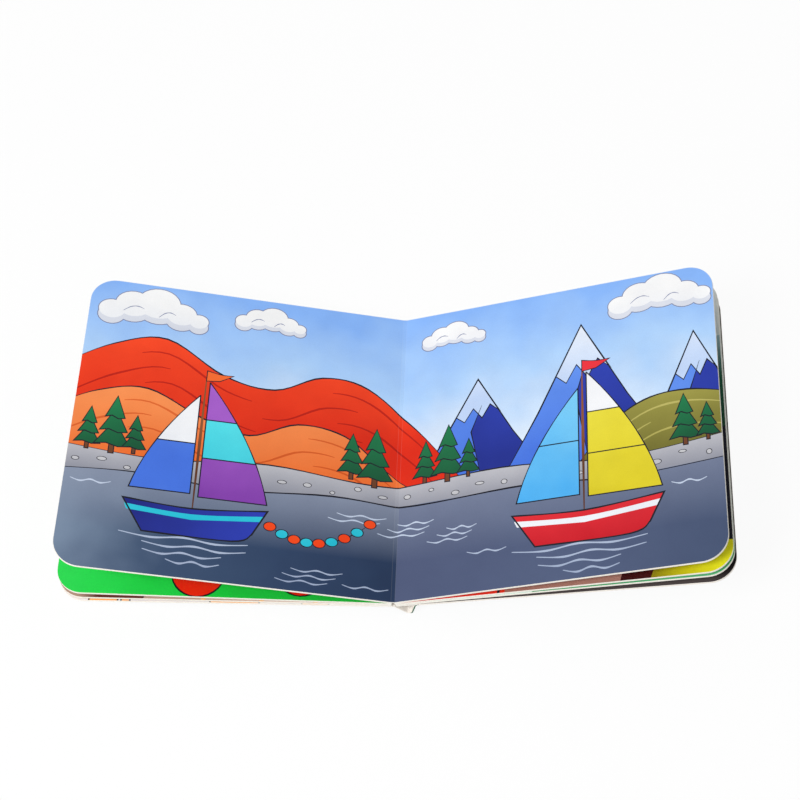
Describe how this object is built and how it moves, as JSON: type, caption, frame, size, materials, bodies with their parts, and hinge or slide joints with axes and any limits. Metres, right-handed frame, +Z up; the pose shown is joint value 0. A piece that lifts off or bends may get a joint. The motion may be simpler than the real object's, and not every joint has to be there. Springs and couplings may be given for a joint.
{
  "type": "board book",
  "caption": "Square board book lying open at its middle spread, with thick fanned leaves, rounded corners, a hollow card spine and covers that turn on creases.",
  "frame": {"origin": "on the table under the middle of the open book", "axes": "+X across the spread towards the right-hand page, +Y up the pages towards their heads, +Z up"},
  "size_m": [0.2968, 0.15, 0.0652],
  "materials": {
    "page_board": "laminated card, satin, with white cut edges",
    "cover_board": "laminated card, satin, with white cut edges",
    "spine_card": "laminated card, bare white inside"
  },
  "bodies": {
    "block": {"page_block": "page_board", "spine": "spine_card"},
    "front_cover": {"front_cover": "cover_board"},
    "back_cover": {"back_cover": "cover_board"}
  },
  "joints": [
    {"name": "front_cover_crease", "type": "hinge", "parent": "block", "child": "front_cover", "pos_m": [-0.00919, 0, 0.00594], "axis": [0, -1, 0], "range_deg": [-0.8, 90]},
    {"name": "back_cover_crease", "type": "hinge", "parent": "block", "child": "back_cover", "pos_m": [0.01365, 0, 0.00905], "axis": [0, 1, 0], "range_deg": [-2.1, 90]}
  ]
}
